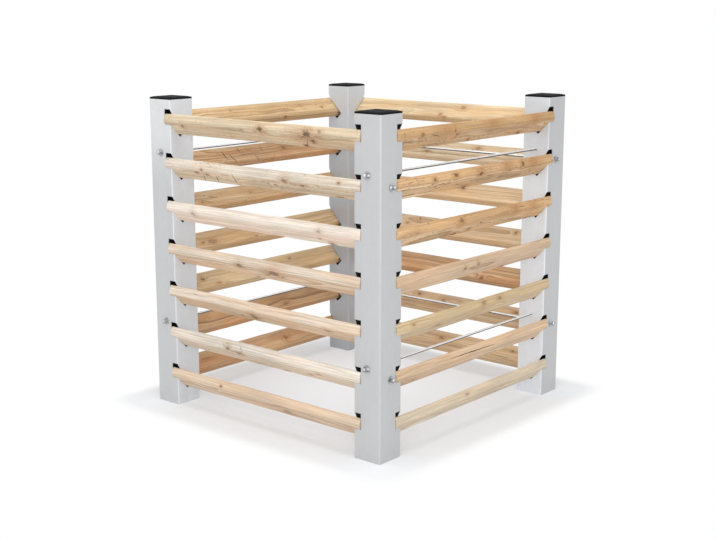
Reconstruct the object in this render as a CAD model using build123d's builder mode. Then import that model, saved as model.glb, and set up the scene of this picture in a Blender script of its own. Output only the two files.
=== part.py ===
from build123d import *
import math
import os

# Garden compost bin: four folded sheet-steel corner posts with plastic caps, tilted wooden slats
# that drop into slanted slots in the posts, and steel tie rods with washers and cap nuts.
# Millimetres, +Z up, origin on the ground at the middle of the bin.
# The front side faces -Y, the right side +X, the back side +Y and the left side -X.

# Driving dimensions: posts
footprint = 950.0
post_height = 995.0
post_width = 96.0
post_wall = 2.0
post_bend_radius = 4.0

# Driving dimensions: slats
slat_count = 7
slat_thickness = 27.0
slat_width = 68.0
slat_slant = 23.0
slat_nose_radius = 14.0
slat_top_radius = 4.0
slat_foot_radius = 9.0
slat_inner_radius = 8.0
slat_end_chamfer = 1.5
slat_tilt = 45.0
slat_proud = 9.0
slat_end_clearance = 2.0

# Driving dimensions: slots in the posts
slot_top_margin = 26.0
slot_foot_margin = 48.2
slot_width_clearance = 2.0
slot_end_clearance = 3.5
slot_mouth_overrun = 12.0
slot_lead_height = 10.0
slot_lead_depth = 11.0
seat_clearance = 0.2
corner_clearance = 22.0

# Driving dimensions: post caps
cap_flange_thickness = 7.5
cap_bevel_height = 2.5
cap_bevel_width = 9.0
cap_skirt_depth = 18.0
cap_skirt_wall = 3.0
cap_skirt_lead = 1.0
cap_fit_clearance = 0.3

# Driving dimensions: tie rods, washers and cap nuts
rod_diameter = 8.0
rod_hole_clearance = 0.5
rod_end_chamfer = 1.0
rod_web = 10.0
rod_crossing_step = 34.0
rod_end_slat_count = 1
rod_nut_engagement = 10.0
washer_diameter = 24.0
washer_thickness = 2.0
washer_bore_clearance = 0.2
nut_across_flats = 13.0
nut_hex_height = 6.5
nut_height = 15.0
nut_dome_radius = 6.2
nut_bore_clearance = 0.15
nut_bore_end_space = 1.5

# Worked-out sizes: places along the tilted seat, measured inwards from the post's outer face
tilt_cos = math.cos(math.radians(slat_tilt))
tilt_sin = math.sin(math.radians(slat_tilt))
half_footprint = footprint / 2
post_axis = half_footprint - post_width / 2
post_inner_face = half_footprint - post_width
slot_width = slat_thickness + slot_width_clearance + seat_clearance
slat_outer_run = -slat_proud / tilt_cos
slat_inner_run = slat_outer_run + slat_width
slat_slant_run = slat_thickness * math.tan(math.radians(slat_slant))
slat_rise = seat_clearance + slat_thickness
slot_inner_run = slat_inner_run + slot_end_clearance
slot_outer_run = -(slot_width * tilt_sin + slot_mouth_overrun) / tilt_cos
slot_mouth_height = slot_width / tilt_cos
slot_drop = slot_inner_run * tilt_sin
slat_reach = (slat_inner_run - slat_slant_run) * tilt_cos + slat_rise * tilt_sin

# Worked-out sizes: heights of the seats at the post's outer face, top slat first
top_seat = post_height - slot_top_margin - slot_lead_height - slot_mouth_height
foot_seat = slot_foot_margin + slot_drop
slat_pitch = (top_seat - foot_seat) / (slat_count - 1)
seat_heights = [top_seat - slat_pitch * number for number in range(slat_count)]

# Worked-out sizes: the slats' ends stop short of the slats of the next side
slat_end_reach = post_width - slat_reach - corner_clearance
notch_depth = slat_end_reach + slat_end_clearance
slat_length = 2 * (post_inner_face + slat_end_reach)

# Worked-out sizes: rods run along the posts' axes, just above a slot's upper edge, with as many
# slats beyond the upper rods as beyond the lower rods
rod_hole_radius = rod_diameter / 2 + rod_hole_clearance
slot_edge_at_axis = slot_mouth_height - post_width / 2 * tilt_sin / tilt_cos
rod_rise = slot_edge_at_axis + (rod_hole_radius + rod_web) / tilt_cos
rod_slats = (rod_end_slat_count, slat_count - 1 - rod_end_slat_count)
low_rod_heights = [seat_heights[number] + rod_rise for number in rod_slats]
high_rod_heights = [height + rod_crossing_step for height in low_rod_heights]
rod_half_length = half_footprint + washer_thickness + rod_nut_engagement

# Each side: its outward direction, the direction along its slats, and its rods' heights
SIDES = {
    "front": (Vector(0, -1, 0), Vector(1, 0, 0), low_rod_heights),
    "right": (Vector(1, 0, 0), Vector(0, 1, 0), high_rod_heights),
    "back": (Vector(0, 1, 0), Vector(-1, 0, 0), low_rod_heights),
    "left": (Vector(-1, 0, 0), Vector(0, -1, 0), high_rod_heights),
}

# Each post: the side whose slats start at it and the side whose slats end at it
POSTS = {
    "front_left": ("front", "left"),
    "front_right": ("right", "front"),
    "back_right": ("back", "right"),
    "back_left": ("left", "back"),
}

UP = Vector(0, 0, 1)
ROD_LEVELS = ("upper", "lower")


def save(part, name):
    """Label a finished piece and write it as one file."""
    part.label = name
    export_step(part, f"parts/{name}.step")


def section_plane(side, along):
    """Plane across a side's slats: x runs inwards from the posts' outer face, y up from the ground."""
    outward, run, _ = SIDES[side]
    return Plane(origin=outward * half_footprint + run * along, x_dir=outward * -1, z_dir=run)


def tilted_place(seat_height, run, rise):
    """Point of a section plane, from its run inwards along a seat and its rise off the seat."""
    across = run * tilt_cos + rise * tilt_sin
    return (across, seat_height + rise * tilt_cos - run * tilt_sin)


def post_corner(name):
    """Middle of a post on the ground."""
    starts, ends = POSTS[name]
    return (SIDES[starts][0] + SIDES[ends][0]) * post_axis


def rod_end_planes(side):
    """Planes on the posts' outer faces at both ends of a side's rods, facing outwards."""
    outward, run, heights = SIDES[side]
    planes = []
    for height in heights:
        for direction in (run * -1, run):
            origin = outward * post_axis + direction * half_footprint + UP * height
            planes.append(Plane(origin=origin, x_dir=UP, z_dir=direction))
    return planes


def make_post(name):
    """Square folded tube with a row of slanted slots for each of its two sides, and rod holes.

    The slots widen upwards at their mouths.
    """
    starts, ends = POSTS[name]
    centre = post_corner(name)
    tube_bore = post_width - 2 * post_wall
    slot_length = slot_inner_run - slot_outer_run
    slot_middle = (slot_inner_run + slot_outer_run) / 2
    slot_places = [tilted_place(height, slot_middle, slot_width / 2) for height in seat_heights]
    mouth_places = [(0, height) for height in seat_heights]
    mouth_top = slot_mouth_height + slot_lead_height
    mouth_corners = [
        (-slot_mouth_overrun, 0),
        (0, 0),
        (slot_lead_depth, slot_mouth_height - slot_lead_depth * tilt_sin / tilt_cos),
        (0, mouth_top),
        (-slot_mouth_overrun, mouth_top),
    ]
    with BuildPart() as post:
        with BuildSketch(Plane(origin=centre)):
            RectangleRounded(post_width, post_width, post_bend_radius)
            RectangleRounded(tube_bore, tube_bore, post_bend_radius - post_wall, mode=Mode.SUBTRACT)
        extrude(amount=post_height)
        for side, end in ((starts, -1), (ends, 1)):
            rod_places = [(post_width / 2, height) for height in SIDES[side][2]]
            with BuildSketch(section_plane(side, end * post_inner_face)):
                with Locations(*slot_places):
                    Rectangle(slot_length, slot_width, rotation=-slat_tilt)
                with Locations(*mouth_places):
                    Polygon(*mouth_corners, align=None)
            extrude(amount=end * notch_depth, mode=Mode.SUBTRACT)
            with BuildSketch(section_plane(side, end * post_inner_face)):
                with Locations(*rod_places):
                    Circle(rod_hole_radius)
            extrude(amount=end * post_width, mode=Mode.SUBTRACT)
    return post.part


def make_cap(name):
    """Plastic cap: a bevelled plate flush with the post and a hollow skirt inside the tube."""
    centre = post_corner(name)
    plate_thickness = cap_flange_thickness - cap_bevel_height
    crown_width = post_width - 2 * cap_bevel_width
    skirt_width = post_width - 2 * (post_wall + cap_fit_clearance)
    skirt_radius = post_bend_radius - post_wall
    skirt_bore = skirt_width - 2 * cap_skirt_wall
    with BuildPart() as cap:
        with BuildSketch(Plane(origin=centre + UP * post_height)):
            RectangleRounded(post_width, post_width, post_bend_radius)
        extrude(amount=plate_thickness)
        with BuildSketch(Plane(origin=centre + UP * (post_height + plate_thickness))):
            RectangleRounded(post_width, post_width, post_bend_radius)
        with BuildSketch(Plane(origin=centre + UP * (post_height + cap_flange_thickness))):
            RectangleRounded(crown_width, crown_width, post_bend_radius)
        loft()
        with BuildSketch(Plane(origin=centre + UP * post_height)):
            RectangleRounded(skirt_width, skirt_width, skirt_radius)
        extrude(amount=-cap_skirt_depth)
        chamfer(cap.faces().sort_by(Axis.Z)[0].edges(), cap_skirt_lead)
        with BuildSketch(Plane(origin=centre + UP * post_height)):
            Rectangle(skirt_bore, skirt_bore)
        extrude(amount=-cap_skirt_depth, mode=Mode.SUBTRACT)
    return cap.part


def make_slat(side, seat_height):
    """Wooden slat of slanted section, lying on the slanted seats of its two posts.

    Its edges lean towards the plumb, and the lower edge of its outer side is a round nose.
    """
    corners = [
        tilted_place(seat_height, slat_outer_run, seat_clearance),
        tilted_place(seat_height, slat_inner_run, seat_clearance),
        tilted_place(seat_height, slat_inner_run - slat_slant_run, slat_rise),
        tilted_place(seat_height, slat_outer_run - slat_slant_run, slat_rise),
    ]
    with BuildPart() as slat:
        with BuildSketch(section_plane(side, 0)) as section:
            Polygon(*corners, align=None)
            fillet(section.vertices().sort_by(Axis.X)[0], slat_nose_radius)
            fillet(section.vertices().sort_by(Axis.Y)[-1], slat_top_radius)
            fillet(section.vertices().sort_by(Axis.Y)[0], slat_foot_radius)
            fillet(section.vertices().sort_by(Axis.X)[-1], slat_inner_radius)
        extrude(amount=slat_length / 2, both=True)
        run_axis = Axis((0, 0, 0), SIDES[side][1])
        ends = slat.faces().sort_by(run_axis)
        chamfer(ends[0].edges() + ends[-1].edges(), slat_end_chamfer)
    return slat.part


def make_rod(side, height):
    """Tie rod along a side, through both of its posts and into a cap nut at each end."""
    with BuildPart() as rod:
        with BuildSketch(section_plane(side, 0)):
            with Locations((post_width / 2, height)):
                Circle(rod_diameter / 2)
        extrude(amount=rod_half_length, both=True)
        chamfer(rod.edges().filter_by(GeomType.CIRCLE), rod_end_chamfer)
    return rod.part


def make_washers(side):
    """Flat washers of one side's rods, each against a post's outer face."""
    with BuildPart() as washers:
        for plane in rod_end_planes(side):
            with BuildSketch(plane):
                Circle(washer_diameter / 2)
                Circle(rod_diameter / 2 + washer_bore_clearance, mode=Mode.SUBTRACT)
            extrude(amount=washer_thickness)
    return washers.part


def make_cap_nuts(side):
    """Domed hexagon nuts of one side's rods, each on its washer, with a blind bore for the rod."""
    bore_depth = rod_nut_engagement + nut_bore_end_space
    with BuildPart() as nuts:
        for plane in rod_end_planes(side):
            base = plane.offset(washer_thickness)
            with BuildSketch(base):
                RegularPolygon(nut_across_flats / 2, 6, major_radius=False)
            extrude(amount=nut_hex_height)
            with BuildSketch(base):
                Circle(nut_dome_radius)
            extrude(amount=nut_height - nut_dome_radius)
            with Locations(base.offset(nut_height - nut_dome_radius)):
                Sphere(nut_dome_radius)
            with BuildSketch(base):
                Circle(rod_diameter / 2 + nut_bore_clearance)
            extrude(amount=bore_depth, mode=Mode.SUBTRACT)
    return nuts.part


os.makedirs("parts", exist_ok=True)

for post_name in POSTS:
    save(make_post(post_name), f"post_{post_name}")
    save(make_cap(post_name), f"cap_{post_name}")

for side_name, (_, _, rod_heights) in SIDES.items():
    for slat_number, seat_height in enumerate(seat_heights, start=1):
        save(make_slat(side_name, seat_height), f"{side_name}_slat_{slat_number}")
    for level, rod_height in zip(ROD_LEVELS, rod_heights):
        save(make_rod(side_name, rod_height), f"{side_name}_rod_{level}")
    save(make_washers(side_name), f"{side_name}_rod_washers")
    save(make_cap_nuts(side_name), f"{side_name}_cap_nuts")
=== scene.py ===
"""Looks of the garden compost bin: larch slats, galvanised posts, black caps and zinc-plated tie rods."""
import logging
import math
import random
from dataclasses import asdict, dataclass, replace
from enum import Enum
from typing import Any, Optional, Union

import bmesh
import bpy
from mathutils import Matrix, Vector


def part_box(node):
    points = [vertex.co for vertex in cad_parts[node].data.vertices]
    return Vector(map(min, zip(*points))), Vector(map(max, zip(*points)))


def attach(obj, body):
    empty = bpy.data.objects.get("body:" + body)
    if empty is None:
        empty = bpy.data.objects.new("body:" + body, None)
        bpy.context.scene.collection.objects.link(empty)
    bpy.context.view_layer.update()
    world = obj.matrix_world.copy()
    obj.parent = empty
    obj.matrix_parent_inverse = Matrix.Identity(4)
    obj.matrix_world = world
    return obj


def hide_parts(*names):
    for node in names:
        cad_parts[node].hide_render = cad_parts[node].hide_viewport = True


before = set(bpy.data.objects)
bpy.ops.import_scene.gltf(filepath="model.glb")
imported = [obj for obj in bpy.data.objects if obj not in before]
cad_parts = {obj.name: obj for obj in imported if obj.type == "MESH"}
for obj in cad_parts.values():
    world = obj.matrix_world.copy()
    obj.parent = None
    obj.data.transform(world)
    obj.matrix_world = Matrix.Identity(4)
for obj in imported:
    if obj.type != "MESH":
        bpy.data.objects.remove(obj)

LOG = logging.getLogger("compost_bin")
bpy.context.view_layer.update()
MILLI = 0.001
UP = Vector((0.0, 0.0, 1.0))
NOWHERE = (0.0, 0.0, 0.0)
MID_GREY = (0.5, 0.5, 0.5)
WHITE = (1.0, 1.0, 1.0)
QUARTER_TURN = math.pi / 2
SOFT_EDGE = 0.6
PLACE_NAME = "slat_place"
KNOT_SUMS = ("Swirl", "Core", "Rim", "Halo")
VALUE = "NodeSocketFloat"
SOCKET_KINDS = {float: VALUE, int: "NodeSocketInt", tuple: "NodeSocketVector"}

Triple = tuple[float, float, float]
Colour = Triple
Range = tuple[float, float]
Ramp = tuple[float, float, float, float]
Tree = bpy.types.NodeTree
Node = bpy.types.Node
Socket = bpy.types.NodeSocket
Outputs = bpy.types.bpy_prop_collection
Material = bpy.types.Material
Piece = bpy.types.Object


class Side(Enum):
    """The four sides of the bin, each with its outward direction."""

    FRONT = (0.0, -1.0)
    RIGHT = (1.0, 0.0)
    BACK = (0.0, 1.0)
    LEFT = (-1.0, 0.0)

    @property
    def label(self) -> str:
        """Name of the side as the nodes spell it."""
        return self.name.lower()

    @property
    def number(self) -> int:
        """Place of the side in the order round the bin, from 0."""
        return list(Side).index(self)

    @property
    def outward(self) -> Vector:
        """Horizontal direction out of the bin."""
        return Vector((*self.value, 0.0))

    @property
    def run(self) -> Vector:
        """Direction along the slats, anticlockwise round the bin."""
        return UP.cross(self.outward)


class Face(Enum):
    """Faces of a slat that carry marks."""

    EDGE = "upper outer edge"
    LOW = "broad face towards the ground"
    HIGH = "broad face towards the sky"


class Tone(Enum):
    """Wood tones, each with its early wood, late wood, blush and outer edge colours."""

    CREAM = ((0.84, 0.73, 0.59), (0.47, 0.33, 0.20), (0.78, 0.61, 0.46), (0.88, 0.81, 0.71))
    SHELL = ((0.90, 0.765, 0.635), (0.56, 0.39, 0.27), (0.84, 0.63, 0.50), (0.89, 0.81, 0.71))
    OAT = ((0.79, 0.66, 0.49), (0.42, 0.28, 0.155), (0.72, 0.53, 0.35), (0.87, 0.79, 0.68))
    BUTTER = ((0.90, 0.78, 0.615), (0.46, 0.31, 0.17), (0.78, 0.59, 0.40), (0.84, 0.72, 0.55))
    STRAW = ((0.81, 0.67, 0.48), (0.42, 0.27, 0.14), (0.74, 0.53, 0.33), (0.78, 0.65, 0.46))
    MAIZE = ((0.88, 0.735, 0.52), (0.42, 0.27, 0.13), (0.74, 0.52, 0.31), (0.76, 0.59, 0.36))
    ROSE = ((0.81, 0.665, 0.51), (0.45, 0.265, 0.14), (0.77, 0.52, 0.34), (0.79, 0.65, 0.49))
    PEACH = ((0.82, 0.66, 0.49), (0.45, 0.265, 0.14), (0.76, 0.51, 0.32), (0.86, 0.76, 0.63))
    APRICOT = ((0.86, 0.69, 0.51), (0.45, 0.265, 0.14), (0.76, 0.50, 0.31), (0.80, 0.60, 0.41))
    WHEAT = ((0.74, 0.58, 0.37), (0.37, 0.22, 0.10), (0.66, 0.43, 0.22), (0.74, 0.60, 0.40))
    HONEY = ((0.80, 0.60, 0.375), (0.34, 0.18, 0.08), (0.70, 0.42, 0.21), (0.575, 0.385, 0.185))
    GINGER = ((0.93, 0.70, 0.44), (0.36, 0.19, 0.08), (0.76, 0.45, 0.21), (0.78, 0.51, 0.275))
    BISCUIT = ((0.80, 0.60, 0.39), (0.40, 0.235, 0.115), (0.70, 0.44, 0.22), (0.78, 0.61, 0.42))
    AMBER = ((0.69, 0.51, 0.31), (0.31, 0.175, 0.08), (0.60, 0.36, 0.165), (0.69, 0.53, 0.34))
    TAWNY = ((0.64, 0.455, 0.25), (0.30, 0.165, 0.07), (0.57, 0.34, 0.15), (0.63, 0.46, 0.27))
    RUST = ((0.745, 0.50, 0.29), (0.31, 0.155, 0.07), (0.60, 0.31, 0.14), (0.69, 0.48, 0.29))


@dataclass(frozen=True)
class Knot:
    """A branch that runs through a slat: place and radius in millimetres, depth of colour and stain to 1."""

    along: float
    face: Face
    offset: float
    radius: float
    depth: float = 0.8
    stain: float = 0.0


@dataclass(frozen=True)
class Check:
    """A drying crack on one face: place, length and width in millimetres, angle to the grain in degrees."""

    along: float
    face: Face
    offset: float
    length: float
    angle: float = 0.0
    width: float = 1.2


@dataclass(frozen=True)
class SlatMarks:
    """What tells one slat from the next."""

    tone: Tone
    knots: tuple[Knot, ...] = ()
    checks: tuple[Check, ...] = ()
    flecks: float = 0.1
    figure: float = 1.0


EDGE, LOW, HIGH = Face.EDGE, Face.LOW, Face.HIGH

MARKS: dict[str, SlatMarks] = {
    "front_slat_1": SlatMarks(
        Tone.STRAW,
        (
            Knot(-322, LOW, 14, 9, 0.6), Knot(-60, LOW, 23, 3, 0.6), Knot(20, EDGE, 10, 7, 0.9),
            Knot(205, LOW, 27, 13, 0.9), Knot(217, LOW, 0, 10, 0.9), Knot(175, LOW, -26, 9, 0.95),
            Knot(195, LOW, 8, 18, 0.15, 0.9), Knot(255, EDGE, 4, 6, 0.5),
        ),
        (
            Check(110, LOW, 15, 38), Check(188, LOW, 16, 44, 35, 2.0), Check(200, LOW, 4, 46, -42, 2.0),
            Check(186, LOW, -14, 42, 62, 2.2), Check(160, LOW, 2, 40, 6, 1.8),
            Check(22, EDGE, 8, 26, 48, 1.6),
        ),
        flecks=0.45,
    ),
    "front_slat_2": SlatMarks(
        Tone.OAT,
        (
            Knot(-265, LOW, 12, 4, 0.9), Knot(-235, LOW, 25, 3, 0.9), Knot(-222, LOW, 6, 4, 0.8),
            Knot(115, LOW, 23, 9, 0.6), Knot(180, LOW, 11, 7, 0.7), Knot(327, EDGE, 4, 3, 1.0),
        ),
        (
            Check(-190, LOW, -14, 46, 72, 3.6), Check(-105, LOW, 0, 58, 80, 3.6),
            Check(-247, LOW, -12, 40, 66, 3.0), Check(290, LOW, 30, 90),
        ),
        flecks=0.8,
    ),
    "front_slat_3": SlatMarks(
        Tone.SHELL,
        (
            Knot(-280, LOW, 18, 9, 0.5), Knot(250, LOW, 27, 5, 0.5), Knot(235, LOW, -7, 3, 0.6),
            Knot(275, LOW, -24, 6, 0.7),
        ),
        figure=0.8,
    ),
    "front_slat_4": SlatMarks(
        Tone.PEACH,
        (Knot(-80, LOW, 19, 9, 0.7), Knot(60, LOW, 10, 15, 0.7), Knot(-28, LOW, -28, 5, 0.6)),
        (Check(255, LOW, -23, 70, 2, 1.6),),
        figure=1.2,
    ),
    "front_slat_5": SlatMarks(
        Tone.PEACH,
        (Knot(-35, LOW, -5, 15, 0.75), Knot(-90, LOW, -12, 6, 0.5), Knot(275, LOW, 8, 9, 0.35)),
        (Check(-280, EDGE, 2, 24),),
        figure=1.2,
    ),
    "front_slat_6": SlatMarks(
        Tone.CREAM,
        (
            Knot(-135, LOW, 26, 7, 0.7), Knot(-90, LOW, 16, 6, 0.8), Knot(90, LOW, -24, 4, 0.7),
            Knot(195, LOW, -9, 4, 0.6), Knot(237, LOW, 6, 4, 0.6), Knot(-58, LOW, -34, 4, 0.5),
        ),
        (Check(-76, EDGE, 6, 26, 55, 1.8), Check(-152, EDGE, 5, 34, 35, 1.0)),
    ),
    "front_slat_7": SlatMarks(
        Tone.ROSE,
        (Knot(-170, EDGE, 6, 3, 1.0), Knot(100, LOW, -8, 13, 0.4)),
        figure=1.2,
    ),
    "right_slat_1": SlatMarks(
        Tone.HONEY,
        (
            Knot(-297, EDGE, 10, 6, 0.6), Knot(-140, LOW, 29, 5, 0.7), Knot(-122, LOW, 14, 5, 0.7),
            Knot(-35, LOW, -21, 7, 0.8), Knot(235, LOW, -21, 8, 0.8), Knot(-180, EDGE, 3, 15, 0.1, 0.8),
            Knot(60, EDGE, 3, 18, 0.1, 0.8), Knot(290, EDGE, 3, 18, 0.15, 0.9),
        ),
        (
            Check(-230, LOW, 20, 60, -14, 2.2), Check(-118, LOW, 4, 46, 70, 2.6),
            Check(60, LOW, 12, 80, 6, 2.0), Check(180, LOW, -14, 60, -8, 2.0),
        ),
        flecks=0.75,
        figure=1.3,
    ),
    "right_slat_2": SlatMarks(
        Tone.GINGER,
        (
            Knot(-235, EDGE, 6, 5, 0.8), Knot(-132, EDGE, 4, 6, 0.9), Knot(-5, LOW, 27, 7, 0.9),
            Knot(-47, LOW, -25, 7, 0.9), Knot(225, EDGE, 4, 9, 0.8), Knot(140, EDGE, 3, 16, 0.1, 1.0),
            Knot(285, EDGE, 3, 18, 0.2, 1.0),
        ),
        (
            Check(-200, LOW, -6, 70, 8, 2.0), Check(60, LOW, 10, 60, -12, 2.2),
            Check(200, LOW, -18, 70, 4, 2.0),
        ),
        flecks=0.85,
        figure=1.35,
    ),
    "right_slat_3": SlatMarks(
        Tone.GINGER,
        (
            Knot(-100, EDGE, 5, 8, 0.6), Knot(-97, LOW, -22, 8, 0.8), Knot(-30, LOW, -12, 6, 0.7),
            Knot(295, LOW, -27, 8, 0.8), Knot(190, EDGE, 4, 14, 0.2, 0.9), Knot(290, EDGE, 3, 14, 0.1, 0.9),
        ),
        (
            Check(15, LOW, 8, 40, -30, 2.4), Check(-180, LOW, 14, 60, 10, 2.0),
            Check(140, LOW, -4, 70, -10, 2.2), Check(230, EDGE, 2, 40, 4, 1.8),
        ),
        flecks=0.85,
        figure=1.35,
    ),
    "right_slat_4": SlatMarks(
        Tone.APRICOT,
        (Knot(-77, LOW, 22, 6, 0.8), Knot(-10, LOW, 29, 5, 0.6), Knot(165, LOW, -28, 8, 0.7)),
        figure=1.2,
    ),
    "right_slat_5": SlatMarks(
        Tone.MAIZE,
        (
            Knot(25, EDGE, 3, 8, 0.5), Knot(110, EDGE, 2, 7, 0.5), Knot(-327, EDGE, 3, 5, 0.5),
            Knot(-195, LOW, 2, 7, 0.5),
        ),
    ),
    "right_slat_6": SlatMarks(
        Tone.APRICOT,
        (Knot(-300, LOW, -10, 5, 0.4),),
        (Check(-28, EDGE, 7, 260, 0.6, 2.8),),
        figure=1.2,
    ),
    "right_slat_7": SlatMarks(
        Tone.BUTTER,
        (Knot(-55, EDGE, 2, 4, 0.5),),
    ),
    "back_slat_1": SlatMarks(
        Tone.WHEAT,
        (Knot(-80, HIGH, 18, 10, 0.6), Knot(0, HIGH, -19, 6, 0.7), Knot(-20, HIGH, -28, 4, 0.5)),
    ),
    "back_slat_2": SlatMarks(
        Tone.STRAW,
        (Knot(-145, HIGH, 18, 8, 0.6), Knot(60, HIGH, -12, 7, 0.6)),
    ),
    "back_slat_3": SlatMarks(
        Tone.BISCUIT,
        (Knot(-88, HIGH, 11, 6, 0.8), Knot(90, HIGH, -16, 5, 0.7)),
    ),
    "back_slat_4": SlatMarks(
        Tone.BISCUIT,
        (Knot(-308, HIGH, 19, 7, 0.7), Knot(105, HIGH, 24, 5, 0.8), Knot(150, HIGH, 0, 5, 0.6)),
    ),
    "back_slat_5": SlatMarks(
        Tone.RUST,
        (Knot(-190, HIGH, -24, 9, 0.6),),
        figure=1.3,
    ),
    "back_slat_6": SlatMarks(
        Tone.BISCUIT,
        (Knot(102, HIGH, 21, 7, 0.7), Knot(-10, HIGH, 10, 9, 0.5), Knot(-320, HIGH, 16, 6, 0.6)),
        flecks=0.3,
    ),
    "back_slat_7": SlatMarks(
        Tone.BISCUIT,
        (Knot(-5, HIGH, 8, 8, 0.6), Knot(-310, HIGH, 14, 5, 0.6)),
        (Check(-280, HIGH, -15, 84, 0, 1.8), Check(-75, HIGH, -15, 64, 0, 1.8)),
    ),
    "left_slat_1": SlatMarks(
        Tone.TAWNY,
        (
            Knot(-98, HIGH, -32, 8, 0.8), Knot(-305, HIGH, -4, 3, 0.8), Knot(-200, HIGH, 14, 5, 0.5),
            Knot(140, HIGH, 16, 4, 0.5),
        ),
        flecks=0.4,
    ),
    "left_slat_2": SlatMarks(
        Tone.RUST,
        (Knot(-110, HIGH, 6, 8, 0.6),),
        (
            Check(40, HIGH, -24, 34, 76, 4.4), Check(150, HIGH, -16, 56, 70, 4.6),
            Check(180, HIGH, 2, 46, 82, 4.2), Check(105, HIGH, 16, 30, 84, 3.6),
            Check(0, HIGH, 12, 32, 78, 3.6), Check(70, HIGH, -3, 120, 0, 2.8),
        ),
        flecks=0.5,
        figure=1.25,
    ),
    "left_slat_3": SlatMarks(
        Tone.AMBER,
        (Knot(60, HIGH, 0, 7, 0.4), Knot(290, HIGH, -8, 5, 0.5)),
        (
            Check(275, HIGH, -6, 60, 22, 2.2), Check(235, HIGH, 6, 50, 18, 2.0),
            Check(-70, HIGH, 8, 60, 8, 2.0),
        ),
        flecks=0.6,
        figure=1.15,
    ),
    "left_slat_4": SlatMarks(
        Tone.AMBER,
        (Knot(250, HIGH, -8, 13, 0.5), Knot(292, HIGH, -6, 5, 0.7), Knot(50, HIGH, -20, 5, 0.5)),
    ),
    "left_slat_5": SlatMarks(
        Tone.WHEAT,
        (Knot(-140, HIGH, 15, 6, 0.6), Knot(290, HIGH, 8, 6, 0.7), Knot(230, HIGH, -18, 4, 0.6)),
    ),
    "left_slat_6": SlatMarks(
        Tone.RUST,
        (Knot(-100, HIGH, -12, 12, 0.5),),
        figure=1.4,
    ),
    "left_slat_7": SlatMarks(
        Tone.RUST,
        (Knot(-105, HIGH, 0, 13, 0.6), Knot(330, HIGH, 6, 6, 0.7)),
        figure=1.4,
    ),
}


@dataclass(frozen=True)
class SlatSection:
    """Slanted section of a slat in metres: Y runs out and up along its tilt, Z out and down across it."""

    width: float = 0.068
    thickness: float = 0.027
    slant_run: float = 0.01146
    nose_radius: float = 0.014
    top_radius: float = 0.004
    foot_radius: float = 0.009
    inner_radius: float = 0.008

    def edge_at(self, level: float) -> float:
        """Y of the outer edge at a level of Z."""
        return self.width / 2 - level * self.slant_run / self.thickness

    def level_of(self, face: Face) -> float:
        """Z of a broad face."""
        return self.thickness / 2 * (1.0 if face is Face.LOW else -1.0)

    def round_middle(self, radius: float, low: bool) -> tuple[float, float]:
        """Middle of the rounding at one end of the outer edge.

        Args:
            radius: the rounding's radius.
            low: whether it is the nose and not the top.

        Returns:
            Its Y and Z.
        """
        level = (self.thickness / 2 - radius) * (1.0 if low else -1.0)
        slope = math.hypot(self.thickness, self.slant_run) / self.thickness
        return self.edge_at(level) - radius * slope, level

    def place(self, node: str, side: Side) -> Vector:
        """Middle of the section of a slat at rest, found from the top and the nose of its node's box.

        Args:
            node: the slat's node.
            side: the side it belongs to.

        Returns:
            The place in the shared frame.
        """
        low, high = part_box(node)
        root = math.sqrt(0.5)
        top_y, top_z = self.round_middle(self.top_radius, False)
        nose_y, nose_z = self.round_middle(self.nose_radius, True)
        middle = (low + high) / 2
        out_most = max(low.dot(side.outward), high.dot(side.outward))
        out = out_most - (nose_y + nose_z) * root - self.nose_radius
        middle += side.outward * (out - middle.dot(side.outward))
        middle.z = high.z - (top_y - top_z) * root - self.top_radius
        return middle


def opaque(colour: Any) -> Any:
    """Gives a plain colour its alpha and leaves a socket as it is."""
    return colour if isinstance(colour, Socket) else (*colour, 1.0)


def add_object(name: str, data: Any) -> Piece:
    """Adds an object to the scene, at the origin.

    Args:
        name: the object's name.
        data: its mesh, lamp or camera.

    Returns:
        The object.
    """
    piece = bpy.data.objects.new(name, data)
    bpy.context.scene.collection.objects.link(piece)
    return piece


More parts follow.
